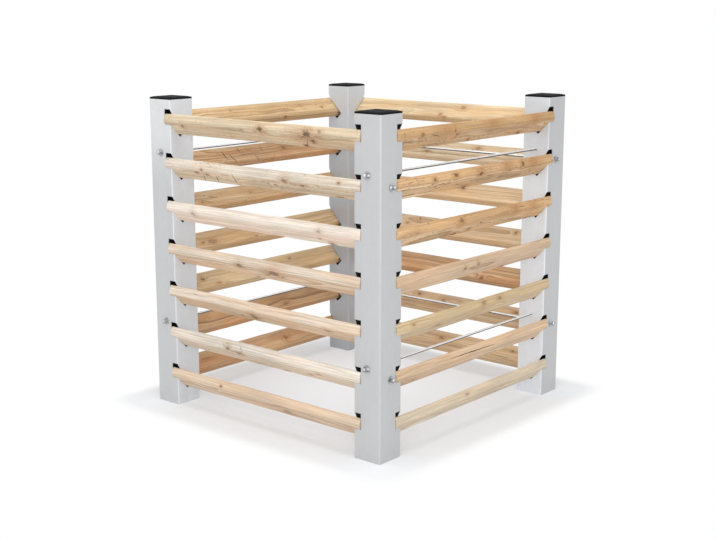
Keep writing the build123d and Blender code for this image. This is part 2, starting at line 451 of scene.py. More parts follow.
class Graph:
    """Adds nodes to one tree and joins their sockets."""

    def __init__(self, tree: Tree) -> None:
        """Works on an existing tree."""
        self.tree = tree

    def link(self, source: Socket, target: Socket) -> None:
        """Joins an output to an input."""
        self.tree.links.new(source, target)

    def fill(self, node: Node, inputs: dict[Any, Any]) -> None:
        """Joins or sets inputs of a node.

        Args:
            node: the node.
            inputs: value or socket for each input, by name or number.
        """
        for key, value in inputs.items():
            if isinstance(value, Socket):
                self.link(value, node.inputs[key])
            else:
                node.inputs[key].default_value = value

    def add(self, kind: str, inputs: Optional[dict[Any, Any]] = None, **settings: Any) -> Node:
        """Adds a node.

        Args:
            kind: Blender's type name of the node.
            inputs: value or socket for each input, by name or number.
            settings: the node's own properties.

        Returns:
            The new node.
        """
        node = self.tree.nodes.new(kind)
        for name, value in settings.items():
            setattr(node, name, value)
        self.fill(node, inputs or {})
        return node

    def out(
        self, kind: str, inputs: Optional[dict[Any, Any]] = None, output: Any = 0, **settings: Any
    ) -> Socket:
        """Adds a node and gives one of its outputs, by name or number."""
        return self.add(kind, inputs, **settings).outputs[output]

    def group(self, tree: Tree, inputs: dict[str, Any]) -> Outputs:
        """Puts a shared group into the tree and gives its outputs."""
        return self.add("ShaderNodeGroup", inputs, node_tree=tree).outputs

    def math(self, operation: str, first: Any, second: Any = 0.0, third: Any = 0.0) -> Socket:
        """Adds a Math node on values or sockets."""
        return self.out("ShaderNodeMath", {0: first, 1: second, 2: third}, operation=operation)

    def times(self, first: Any, second: Any) -> Socket:
        """Product of two values."""
        return self.math("MULTIPLY", first, second)

    def times_plus(self, first: Any, second: Any, third: Any) -> Socket:
        """Product of two values, and a third one added."""
        return self.math("MULTIPLY_ADD", first, second, third)

    def less(self, first: Any, second: Any) -> Socket:
        """First value less the second."""
        return self.math("SUBTRACT", first, second)

    def most(self, first: Any, second: Any) -> Socket:
        """Greater of two values."""
        return self.math("MAXIMUM", first, second)

    def vector(self, operation: str, first: Any, second: Any = NOWHERE) -> Socket:
        """Adds a Vector Math node, whose result is a value for lengths and products and else a vector."""
        output = "Value" if operation in ("LENGTH", "DOT_PRODUCT", "DISTANCE") else "Vector"
        return self.out("ShaderNodeVectorMath", {0: first, 1: second}, output, operation=operation)

    def part(self, vector: Any, axis: str) -> Socket:
        """One part of a vector."""
        return self.out("ShaderNodeSeparateXYZ", {0: vector}, axis)

    def joined(self, **parts: Any) -> Socket:
        """Vector of the parts that are named X, Y or Z, with the others at 0."""
        return self.out("ShaderNodeCombineXYZ", parts)

    def step(self, value: Any, low: Any, high: Any, start: float = 0.0, end: float = 1.0) -> Socket:
        """Adds a smooth step from start at low to end at high."""
        limits = {0: value, 1: low, 2: high, 3: start, 4: end}
        return self.out("ShaderNodeMapRange", limits, interpolation_type="SMOOTHSTEP")

    def fall(self, value: Any, low: Any, high: Any) -> Socket:
        """Adds a smooth step from 1 at low down to 0 at high."""
        return self.step(value, low, high, 1.0, 0.0)

    def noise(self, place: Any, scale: Any, detail: float = 2.0, roughness: float = 0.5) -> Outputs:
        """Adds a noise texture.

        Args:
            place: where the noise is read.
            scale: cells to the metre along each axis, as values or a socket.
            detail: octaves.
            roughness: weight of the finer octaves.

        Returns:
            The noise node's outputs.
        """
        scaled = self.vector("MULTIPLY", place, scale)
        inputs = {"Vector": scaled, "Scale": 1.0, "Detail": detail, "Roughness": roughness}
        return self.add("ShaderNodeTexNoise", inputs).outputs

    def mix(self, share: Any, first: Any, second: Any, blend: str = "MIX") -> Socket:
        """Mixes a share of the second colour into the first."""
        inputs = {0: share, 6: opaque(first), 7: opaque(second)}
        return self.out("ShaderNodeMix", inputs, 2, data_type="RGBA", blend_type=blend)

    def shaded(self, colour: Any, share: Socket) -> Socket:
        """Multiplies a colour by a value."""
        grey = self.out("ShaderNodeCombineColor", {0: share, 1: share, 2: share})
        return self.mix(1.0, colour, grey, "MULTIPLY")

    def facing(self, axis: str) -> Socket:
        """How far the surface faces along an axis, from -1 to 1."""
        return self.part(self.out("ShaderNodeNewGeometry", output="Normal"), axis)


class GroupGraph(Graph):
    """A node group in the making, with named inputs and outputs."""

    def __init__(self, name: str, takes: dict[str, Any], kind: str = "ShaderNodeTree") -> None:
        """Starts the group.

        Args:
            name: the group's name.
            takes: each input's name with its default, or with its socket type where it has no default.
            kind: type name of the tree.
        """
        super().__init__(bpy.data.node_groups.new(name, kind))
        for label, default in takes.items():
            bare = isinstance(default, str)
            socket_kind = default if bare else SOCKET_KINDS[type(default)]
            socket = self.tree.interface.new_socket(label, in_out="INPUT", socket_type=socket_kind)
            if not bare:
                socket.default_value = default
        self.takes = self.add("NodeGroupInput").outputs

    def give(self, results: dict[str, Socket], kind: str = VALUE) -> Tree:
        """Ends the group.

        Args:
            results: each output's name and the socket that feeds it.
            kind: socket type of the outputs.

        Returns:
            The finished tree.
        """
        for label in results:
            self.tree.interface.new_socket(label, in_out="OUTPUT", socket_type=kind)
        self.add("NodeGroupOutput", results)
        return self.tree


class MaterialGraph(Graph):
    """The nodes of one material round its Principled shader."""

    def __init__(self, name: str) -> None:
        """Starts the material.

        Args:
            name: the material's name.
        """
        self.material = bpy.data.materials.new(name)
        self.material.use_nodes = True
        self.material.node_tree.nodes.clear()
        super().__init__(self.material.node_tree)
        self.shader = self.add("ShaderNodeBsdfPrincipled")
        self.output = self.add("ShaderNodeOutputMaterial", {"Surface": self.shader.outputs[0]})
        self.where = self.out("ShaderNodeTexCoord", output="Object")

    def dress(self, inputs: dict[str, Any]) -> Material:
        """Fills the shader's own inputs and gives the material."""
        self.fill(self.shader, inputs)
        return self.material


class EffectGroups:
    """Shader node groups that the finishes share. A noise has cells to the metre, detail and roughness."""

    SLOW = ((3.0, 9.0, 9.0), 2.0, 0.5)
    RIPPLE = ((24.0, 150.0, 150.0), 2.0, 0.5)
    FIBRE = ((9.0, 230.0, 230.0), 4.0, 0.6)
    DASH = ((70.0, 330.0, 330.0), 2.0, 0.5)
    PATCH = ((9.0, 40.0, 40.0), 1.0, 0.5)
    BLUSH = ((4.5, 26.0, 26.0), 3.0, 0.5)
    RAGGED = ((120.0, 190.0, 190.0), 4.0, 0.7)
    SHRED = ((150.0, 420.0, 420.0), 3.0, 0.6)
    WANDER = ((60.0, 60.0, 60.0), 3.0, 0.5)
    SOFT = ((7.0, 7.0, 7.0), 2.0, 0.5)
    SPLASHES = ((38.0, 38.0, 38.0), 4.0, 0.6)
    RING_DRIFT = (0.0, 0.018, 0.018)
    RING_RIPPLE = 0.5
    LATE_RISE = (0.30, 0.92)
    LATE_FALL = (0.93, 1.0)
    YEAR_SPREAD = 0.7
    BAND_SHARE = 0.42
    PATCH_SHARE = 0.35
    FLECK_LIMITS = (0.80, 0.87)
    KNOT_RAGGED = (2.0, -1.0)
    TORN_LIMITS = (0.54, 0.61)
    NEAR_RAMP = (0.6, 2.3, 0.9, 0.0)
    CORE_LIMITS = (0.15, 0.65)
    RIM_RISE = (0.25, 0.5)
    RIM_FALL = (0.6, 0.85)
    HALO_LIMITS = (0.4, 3.2)
    SWELL_BASE = 2.718
    KNOT_SWELL = -0.35
    KNOT_SWIRL = 2.2
    CRACK_SWERVE = (3.0, -1.5)
    CRACK_CORE = 0.4
    CRACK_SOFT = 0.1
    CRACK_END = (0.0, 0.2)
    CRACK_DEEP = (0.6, 1.0)
    CELL_SHARE = 0.4
    UPWARD_LIMITS = (0.5, 1.0)
    DUST_LIMITS = (0.35, 0.7)

    def __init__(self) -> None:
        """Builds the groups."""
        self.rings = self._growth_rings()
        self.knot = self._branch_knot()
        self.check = self._drying_check()
        self.mottle = self._mottle()
        self.dust = self._ground_dust()

    def _growth_rings(self) -> Tree:
        """Growth rings round a pith line beside the slat, with fibres along it.

        Returns:
            The node group.
        """
        takes = {"Place": NOWHERE, "Pith": (0.0, 0.0, 0.07), "Pitch": 0.0036, "Swirl": 0.0}
        graph = GroupGraph("growth_rings", takes)
        place = graph.vector("ADD", graph.takes["Place"], graph.takes["Pith"])
        slow = graph.noise(place, *self.SLOW)
        level = graph.vector("SUBTRACT", slow["Color"], MID_GREY)
        drift = graph.vector("MULTIPLY", level, self.RING_DRIFT)
        across = graph.vector("MULTIPLY", graph.vector("ADD", place, drift), (0.0, 1.0, 1.0))
        turns = graph.math("DIVIDE", graph.vector("LENGTH", across), graph.takes["Pitch"])
        ripple = graph.noise(place, *self.RIPPLE)["Fac"]
        uneven = graph.times_plus(ripple, self.RING_RIPPLE, turns)
        phase = graph.math("ADD", uneven, graph.takes["Swirl"])
        saw = graph.math("FRACT", phase)
        late = graph.times(graph.step(saw, *self.LATE_RISE), graph.fall(saw, *self.LATE_FALL))
        whole = {"W": graph.math("FLOOR", phase)}
        year = graph.out("ShaderNodeTexWhiteNoise", whole, "Value", noise_dimensions="1D")
        weight = graph.times_plus(year, self.YEAR_SPREAD, 1.0 - self.YEAR_SPREAD)
        wide = {"W": graph.times(phase, self.BAND_SHARE), "Scale": 1.0, "Detail": 1.0}
        band = graph.out("ShaderNodeTexNoise", wide, "Fac", noise_dimensions="1D")
        dash = graph.noise(place, *self.DASH)["Fac"]
        patch = graph.noise(place, *self.PATCH)["Fac"]
        seldom = graph.times_plus(patch, self.PATCH_SHARE, dash)
        results = {
            "Late": graph.times(late, weight),
            "Band": band,
            "Fibre": graph.noise(place, *self.FIBRE)["Fac"],
            "Blush": graph.noise(place, *self.BLUSH)["Fac"],
            "Fleck": graph.step(seldom, *self.FLECK_LIMITS),
            "Slow": slow["Fac"],
        }
        return graph.give(results)

    def _branch_knot(self) -> Tree:
        """One knot, added to the knots before it: the rings swerve round its core.

        Returns:
            The node group.
        """
        spot = {"Place": NOWHERE, "Centre": NOWHERE, "Reach": (100.0, 100.0, 0.0)}
        takes = {**spot, "Depth": 0.8, "Stain": 0.0, **dict.fromkeys(KNOT_SUMS, 0.0)}
        graph = GroupGraph("branch_knot", takes)
        place, depth = graph.takes["Place"], graph.takes["Depth"]
        away = graph.vector("SUBTRACT", place, graph.takes["Centre"])
        reached = graph.vector("LENGTH", graph.vector("MULTIPLY", away, graph.takes["Reach"]))
        ragged = graph.noise(place, *self.RAGGED)["Fac"]
        far = graph.math("ADD", reached, graph.times_plus(ragged, *self.KNOT_RAGGED))
        torn = graph.step(graph.noise(place, *self.SHRED)["Fac"], *self.TORN_LIMITS)
        near = graph.step(reached, *self.NEAR_RAMP)
        core = graph.most(graph.fall(far, *self.CORE_LIMITS), graph.times(torn, near))
        rim = graph.times(graph.step(far, *self.RIM_RISE), graph.fall(far, *self.RIM_FALL))
        halo = graph.fall(far, *self.HALO_LIMITS)
        halo_depth = graph.most(depth, graph.takes["Stain"])
        sunk = graph.times(graph.times(reached, reached), self.KNOT_SWELL)
        swell = graph.math("POWER", self.SWELL_BASE, sunk)
        swirl = graph.times(graph.times(swell, self.KNOT_SWIRL), depth)
        results = {"Swirl": graph.math("ADD", swirl, graph.takes["Swirl"])}
        for label, mask, share in (("Core", core, depth), ("Rim", rim, depth), ("Halo", halo, halo_depth)):
            results[label] = graph.most(graph.times(mask, share), graph.takes[label])
        return graph.give(results)

    def _drying_check(self) -> Tree:
        """One drying crack, added to the cracks before it.

        Returns:
            The node group.
        """
        takes = {
            "Place": NOWHERE,
            "Centre": NOWHERE,
            "Line": (50.0, 0.0, 0.0),
            "Cross": (0.0, 1000.0, 0.0),
            "Facing": (0.0, 0.0, 200.0),
            "Check": 0.0,
        }
        graph = GroupGraph("drying_check", takes)
        place = graph.takes["Place"]
        away = graph.vector("SUBTRACT", place, graph.takes["Centre"])
        along, straight, deep = (
            graph.vector("DOT_PRODUCT", away, graph.takes[label]) for label in ("Line", "Cross", "Facing")
        )
        wander = graph.noise(place, *self.WANDER)["Fac"]
        swerve = graph.times_plus(wander, *self.CRACK_SWERVE)
        cross = graph.math("ABSOLUTE", graph.math("ADD", straight, swerve))
        taper = graph.less(1.0, graph.times(along, along))
        core = graph.times(taper, self.CRACK_CORE)
        inside = graph.fall(cross, core, graph.math("ADD", taper, self.CRACK_SOFT))
        ended = graph.step(taper, *self.CRACK_END)
        shallow = graph.fall(graph.math("ABSOLUTE", deep), *self.CRACK_DEEP)
        shown = graph.times(graph.times(inside, ended), shallow)
        return graph.give({"Check": graph.most(shown, graph.takes["Check"])})

    def _mottle(self) -> Tree:
        """Soft mottle, drawn streaks and fine tooth of a coated or moulded surface.

        Returns:
            The node group.
        """
        takes = {
            "Place": NOWHERE,
            "Cells": (55.0, 55.0, 55.0),
            "Streaks": (900.0, 900.0, 6.0),
            "Tooth": (1500.0, 1500.0, 1500.0),
        }
        graph = GroupGraph("surface_mottle", takes)
        place = graph.takes["Place"]
        spread = {"Vector": graph.vector("MULTIPLY", place, graph.takes["Cells"]), "Scale": 1.0}
        cells = graph.out("ShaderNodeTexVoronoi", spread, "Color")
        grey = graph.out("ShaderNodeSeparateColor", {0: cells})
        soft = graph.times(graph.noise(place, *self.SOFT)["Fac"], 1.0 - self.CELL_SHARE)
        results = {"Mottle": graph.times_plus(grey, self.CELL_SHARE, soft)}
        for label, scale in (("Streak", "Streaks"), ("Tooth", "Tooth")):
            results[label] = graph.noise(place, graph.takes[scale])["Fac"]
        return graph.give(results)

    def _ground_dust(self) -> Tree:
        """Dust that settles on upward faces and splashes up from the ground.

        Returns:
            The node group.
        """
        graph = GroupGraph("ground_dust", {"Place": NOWHERE, "Splash": 0.09, "Settled": 0.25})
        place = graph.takes["Place"]
        patch = graph.noise(place, *self.SPLASHES)["Fac"]
        splash = graph.fall(graph.part(place, "Z"), 0.0, graph.takes["Splash"])
        upward = graph.step(graph.facing("Z"), *self.UPWARD_LIMITS)
        thick = graph.most(splash, graph.times(upward, graph.takes["Settled"]))
        return graph.give({"Dust": graph.times(thick, graph.step(patch, *self.DUST_LIMITS))})


@dataclass(frozen=True)
class SurfaceFinish:
    """What every finish of the bin has: roughness, a fine relief and the dust that lies on it."""

    roughness: float = 0.5
    rough_spread: float = 0.14
    bump_strength: float = 0.06
    bump_distance: float = 0.0003
    splash: float = 0.06
    settled: float = 0.2
    dust_share: float = 0.25
    dust_colour: Colour = (0.50, 0.49, 0.47)

    def rough(self, graph: Graph, grain: Socket) -> Socket:
        """Roughness that a grain raises and lowers."""
        return graph.times_plus(grain, self.rough_spread, self.roughness - self.rough_spread / 2)

    def bump(self, graph: Graph, height: Socket) -> Socket:
        """Normal of the fine relief."""
        relief = {"Strength": self.bump_strength, "Distance": self.bump_distance, "Height": height}
        return graph.out("ShaderNodeBump", relief)

    def dust(self, graph: MaterialGraph, effects: EffectGroups) -> Socket:
        """Where dust lies."""
        soil = {"Place": graph.where, "Splash": self.splash, "Settled": self.settled}
        return graph.group(effects.dust, soil)["Dust"]

    def dusted(self, graph: Graph, colour: Socket, dust: Socket) -> Socket:
        """Colour under the dust."""
        return graph.mix(graph.times(dust, self.dust_share), colour, self.dust_colour)


@dataclass(frozen=True)
class LarchFinish(SurfaceFinish):
    """Planed, untreated larch with rings, knots and drying cracks."""

    roughness: float = 0.62
    rough_spread: float = 0.16
    bump_strength: float = 0.5
    bump_distance: float = 0.0006
    splash: float = 0.07
    settled: float = 0.12
    dust_colour: Colour = (0.62, 0.56, 0.48)
    section: SlatSection = SlatSection()
    pith_beside: Range = (0.045, 0.08)
    pith_along: Range = (1.0, 9.0)
    pith_across: Range = (-0.03, 0.03)
    ring_pitch: Range = (0.0026, 0.0038)
    knot_reach: float = 0.015
    knot_stretch: float = 1.1
    stretch_steps: int = 6
    crack_depth: float = 0.005
    edge_limits: Range = (0.022, 0.034)
    edge_wander: float = 0.012
    ring_share: float = 0.70
    edge_calm: float = 0.30
    band_ramp: Ramp = (0.36, 0.60, 0.62, 0.0)
    blush_ramp: Ramp = (0.42, 0.64, 0.0, 0.85)
    fibre_ramp: Ramp = (0.3, 0.7, 0.85, 1.09)
    slow_ramp: Ramp = (0.32, 0.68, 0.88, 1.06)
    fleck_share: float = 1.4
    halo_share: float = 0.55
    knot_share: float = 0.95
    rim_share: float = 0.7
    knot_colour: Colour = (0.13, 0.05, 0.019)
    rim_colour: Colour = (0.055, 0.023, 0.011)
    halo_colour: Colour = (0.50, 0.245, 0.095)
    fleck_colour: Colour = (0.24, 0.115, 0.045)
    crack_colour: Colour = (0.03, 0.017, 0.01)
    late_relief: float = 0.5
    fibre_relief: float = 0.35
    rim_relief: float = -0.6
    crack_relief: float = -2.5
    gloss: float = 0.35

    def material(self, effects: EffectGroups, name: str, marks: SlatMarks, seed: int) -> Material:
        """Builds the wood of one slat.

        Args:
            effects: the shared groups.
            name: the material's name.
            marks: the slat's tone, knots and cracks.
            seed: chooses where in the log the slat was cut.

        Returns:
            The material.
        """
        chance = random.Random(seed)
        beside = chance.choice((-1, 1)) * chance.uniform(*self.pith_beside)
        pith = (chance.uniform(*self.pith_along), chance.uniform(*self.pith_across), beside)
        pitch = chance.uniform(*self.ring_pitch)
        graph = MaterialGraph(name)
        place = graph.out("ShaderNodeAttribute", output="Vector", attribute_name=PLACE_NAME)
        sums, crack = self._marks(graph, effects, place, marks)
        cut = {"Place": place, "Pith": pith, "Pitch": pitch, "Swirl": sums["Swirl"]}
        rings = graph.group(effects.rings, cut)
        wood = graph.mix(crack, self._colour(graph, place, rings, sums, marks), self.crack_colour)
        heights = (
            (rings["Late"], self.late_relief),
            (rings["Fibre"], self.fibre_relief),
            (sums["Rim"], self.rim_relief),
            (crack, self.crack_relief),
        )
        relief: Any = 0.0
        for mask, height in heights:
            relief = graph.times_plus(mask, height, relief)
        inputs = {
            "Base Color": self.dusted(graph, wood, self.dust(graph, effects)),
            "Roughness": self.rough(graph, rings["Fibre"]),
            "Normal": self.bump(graph, relief),
            "Specular IOR Level": self.gloss,
        }
        return graph.dress(inputs)

    def _spot(self, mark: Union[Knot, Check]) -> Triple:
        """Middle of a mark in the slat's own place.

        Args:
            mark: the knot or crack.

        Returns:
            The place.
        """
        along, offset = mark.along * MILLI, mark.offset * MILLI
        if mark.face is Face.EDGE:
            return (along, self.section.edge_at(offset), offset)
        return (along, offset, self.section.level_of(mark.face))

    @staticmethod
    def _laid(face: Face, along: float, across: float, deep: float) -> Triple:
        """Lays measures along the grain, across a face and into the wood on the slat's own axes."""
        return (along, deep, across) if face is Face.EDGE else (along, across, deep)

    def _knot_inputs(self, knot: Knot) -> dict[str, Any]:
        """Place and reach of a knot, whose length differs with its place.

        Args:
            knot: the knot.

        Returns:
            Inputs of the knot group.
        """
        wide = 1.0 / (knot.radius * MILLI)
        stretch = self.knot_stretch + abs(knot.along) % (self.stretch_steps + 1) / self.stretch_steps
        reach = self._laid(knot.face, wide / stretch, wide, 1.0 / self.knot_reach)
        return {"Centre": self._spot(knot), "Reach": reach, "Depth": knot.depth, "Stain": knot.stain}

    def _check_inputs(self, check: Check) -> dict[str, Any]:
        """Middle, direction and depth of a crack.

        Args:
            check: the crack.

        Returns:
            Inputs of the crack group.
        """
        angle = math.radians(check.angle)
        cosine, sine = math.cos(angle), math.sin(angle)
        long, wide = 2.0 / (check.length * MILLI), 2.0 / (check.width * MILLI)
        return {
            "Centre": self._spot(check),
            "Line": self._laid(check.face, cosine * long, sine * long, 0.0),
            "Cross": self._laid(check.face, -sine * wide, cosine * wide, 0.0),
            "Facing": self._laid(check.face, 0.0, 0.0, 1.0 / self.crack_depth),
        }

    def _marks(
        self, graph: Graph, effects: EffectGroups, place: Socket, marks: SlatMarks
    ) -> tuple[dict[str, Any], Any]:
        """Adds the knots and the cracks of one slat.

        Args:
            graph: the material's graph.
            effects: the shared groups.
            place: the slat's own place.
            marks: its knots and cracks.

        Returns:
            The knots' sums by name, and the cracks.
        """
        sums: dict[str, Any] = dict.fromkeys(KNOT_SUMS, 0.0)
        for knot in marks.knots:
            outputs = graph.group(effects.knot, {"Place": place, **self._knot_inputs(knot), **sums})
            sums = {label: outputs[label] for label in KNOT_SUMS}
        crack: Any = 0.0
        for check in marks.checks:
            inputs = {"Place": place, **self._check_inputs(check), "Check": crack}
            crack = graph.group(effects.check, inputs)["Check"]
        return sums, crack

    def _colour(
        self, graph: Graph, place: Socket, rings: Outputs, sums: dict[str, Any], marks: SlatMarks
    ) -> Socket:
        """Mixes the colour of the wood, which is another towards the rounded outer edge.

        Args:
            graph: the material's graph.
            place: the slat's own place.
            rings: outputs of the growth rings' group.
            sums: the knots' sums by name.
            marks: the slat's tone, its share of flecks and how strong its rings are.

        Returns:
            The colour's socket.
        """
        early, late, blush, outer = marks.tone.value
        ragged = graph.times_plus(rings["Blush"], self.edge_wander, graph.part(place, "Y"))
        edge = graph.step(ragged, *self.edge_limits)
        wood = graph.mix(edge, early, outer)
        calm = graph.times_plus(edge, -self.edge_calm * marks.figure, self.ring_share * marks.figure)
        wood = graph.mix(graph.times(rings["Late"], calm), wood, late)
        band = graph.step(rings["Band"], *self.band_ramp)
        wood = graph.mix(graph.times(band, calm), wood, late)
        warm = graph.step(rings["Blush"], *self.blush_ramp)
        wood = graph.mix(graph.times(warm, calm), wood, blush)
        fibre = graph.step(rings["Fibre"], *self.fibre_ramp)
        wood = graph.shaded(wood, graph.times(fibre, graph.step(rings["Slow"], *self.slow_ramp)))
        stains = (
            (graph.times(rings["Fleck"], calm), self.fleck_share * marks.flecks, self.fleck_colour),
            (sums["Halo"], self.halo_share, self.halo_colour),
            (sums["Core"], self.knot_share, self.knot_colour),
            (sums["Rim"], self.rim_share, self.rim_colour),
        )
        for mask, share, colour in stains:
            wood = graph.mix(graph.times(mask, share), wood, colour)
        return wood


@dataclass(frozen=True)
class CoatFinish(SurfaceFinish):
    """What the coated and moulded surfaces have: a mottle and streaks between a dark and a light tint."""

    name: str = "coat"
    light: Colour = (0.6, 0.6, 0.6)
    dark: Colour = (0.5, 0.5, 0.5)
    cells: Triple = (70.0, 70.0, 45.0)
    streaks: Triple = (420.0, 420.0, 1.5)
    tooth: Triple = (2500.0, 2500.0, 400.0)
    streak_share: float = 0.5
    tint_limits: Range = (0.3, 0.7)
    dust_rough: float = 0.25
    metallic: float = 0.0

    def coat(self, graph: MaterialGraph, effects: EffectGroups) -> Outputs:
        """Mottle, streaks and tooth of the surface."""
        sizes = {"Cells": self.cells, "Streaks": self.streaks, "Tooth": self.tooth}
        return graph.group(effects.mottle, {"Place": graph.where, **sizes})

    def tint(self, graph: Graph, coat: Outputs) -> Socket:
        """Colour between dark and light, by the mottle and the streaks.

        Args:
            graph: the material's graph.
            coat: outputs of the mottle group.

        Returns:
            The colour's socket.
        """
        patch = graph.times(coat["Mottle"], 1.0 - self.streak_share)
        shade = graph.times_plus(coat["Streak"], self.streak_share, patch)
        return graph.mix(graph.step(shade, *self.tint_limits), self.dark, self.light)


@dataclass(frozen=True)
class GalvanisedFinish(CoatFinish):
    """Matt zinc coat of the folded posts, with soft spangle and drawn streaks, a painted highlight along the
    bends and painted light and shade that changes with height.
    """

    name: str = "galvanised_post_steel"
    light: Colour = (0.632, 0.634, 0.637)
    dark: Colour = (0.606, 0.608, 0.611)
    bend_colour: Colour = (0.88, 0.885, 0.89)
    bend_ramp: Ramp = (0.15, 0.45, 0.0, 0.15)
    metallic: float = 0.18
    top_share: float = 1.0
    foot_share: float = 1.0
    share_limits: Range = (0.70, 0.92)

    def material(self, effects: EffectGroups) -> Material:
        """Builds the steel of the posts.

        Args:
            effects: the shared groups.

        Returns:
            The material.
        """
        graph = MaterialGraph(self.name)
        coat, dust = self.coat(graph, effects), self.dust(graph, effects)
        # Painted highlight: a light colour mixed in where the surface faces between X and Y, along the posts'
        # bends.
        bend_facing = graph.math("ABSOLUTE", graph.times(graph.facing("X"), graph.facing("Y")))
        steel = graph.mix(graph.step(bend_facing, *self.bend_ramp), self.tint(graph, coat), self.bend_colour)
        # Painted light and shade: the colour is scaled by the foot level low down and by the top level high
        # up.
        height = graph.part(graph.where, "Z")
        share = graph.step(height, *self.share_limits, self.foot_share, self.top_share)
        inputs = {
            "Base Color": self.dusted(graph, graph.shaded(steel, share), dust),
            "Roughness": graph.times_plus(dust, self.dust_rough, self.rough(graph, coat["Mottle"])),
            "Normal": self.bump(graph, coat["Tooth"]),
            "Metallic": self.metallic,
        }
        return graph.dress(inputs)


@dataclass(frozen=True)
class BrightZincFinish(CoatFinish):
    """Bright zinc plate of the washers and cap nuts, or of the rods, which have painted shade underneath."""

    name: str = "bright_zinc_plate"
    light: Colour = (0.54, 0.55, 0.57)
    dark: Colour = (0.20, 0.21, 0.23)
    roughness: float = 0.22
    cells: Triple = (160.0, 160.0, 160.0)
    streaks: Triple = (30.0, 30.0, 900.0)
    tooth: Triple = (2600.0, 2600.0, 2600.0)
    streak_share: float = 0.4
    tint_limits: Range = (0.25, 0.6)
    dull_limits: Range = (-0.2, 0.3)
    under_share: float = 1.0
    metallic: float = 1.0

    def material(self, effects: EffectGroups) -> Material:
        """Builds the plated steel.

        Args:
            effects: the shared groups.

        Returns:
            The material.
        """
        graph = MaterialGraph(self.name)
        coat = self.coat(graph, effects)
        # Painted shade: the colour is scaled down on faces that look downwards, by the underside share.
        underside_shade = graph.step(graph.facing("Z"), *self.dull_limits, self.under_share, 1.0)
        inputs = {
            "Base Color": graph.shaded(self.tint(graph, coat), underside_shade),
            "Roughness": self.rough(graph, coat["Tooth"]),
            "Metallic": self.metallic,
        }
        return graph.dress(inputs)


@dataclass(frozen=True)
class MouldedPlasticFinish(CoatFinish):
    """Black moulded plastic of the post caps, satin with a fine tooth."""

    name: str = "black_moulded_plastic"
    light: Colour = (0.012, 0.012, 0.013)
    dark: Colour = (0.006, 0.006, 0.0065)
    dust_colour: Colour = (0.10, 0.098, 0.092)
    roughness: float = 0.8
    rough_spread: float = 0.16
    bump_strength: float = 0.12
    bump_distance: float = 0.0002
    splash: float = 0.01
    settled: float = 0.5
    dust_share: float = 0.07
    dust_rough: float = 0.15
    cells: Triple = (240.0, 240.0, 240.0)
    streaks: Triple = (60.0, 60.0, 60.0)
    tooth: Triple = (1400.0, 1400.0, 1400.0)
    gloss: float = 0.08

    def material(self, effects: EffectGroups) -> Material:
        """Builds the plastic of the caps.

        Args:
            effects: the shared groups.

        Returns:
            The material.
        """
        graph = MaterialGraph(self.name)
        coat, dust = self.coat(graph, effects), self.dust(graph, effects)
        plastic = graph.mix(coat["Mottle"], self.dark, self.light)
        inputs = {
            "Base Color": self.dusted(graph, plastic, dust),
            "Roughness": graph.times_plus(dust, self.dust_rough, self.rough(graph, coat["Tooth"])),
            "Normal": self.bump(graph, coat["Tooth"]),
            "Specular IOR Level": self.gloss,
        }
        return graph.dress(inputs)


def inputs_of(sizes: Any) -> dict[str, float]:
    """Sizes of a frozen dataclass, under the names that a shape tree has for them."""
    return {name.replace("_", " ").title(): value for name, value in asdict(sizes).items()}


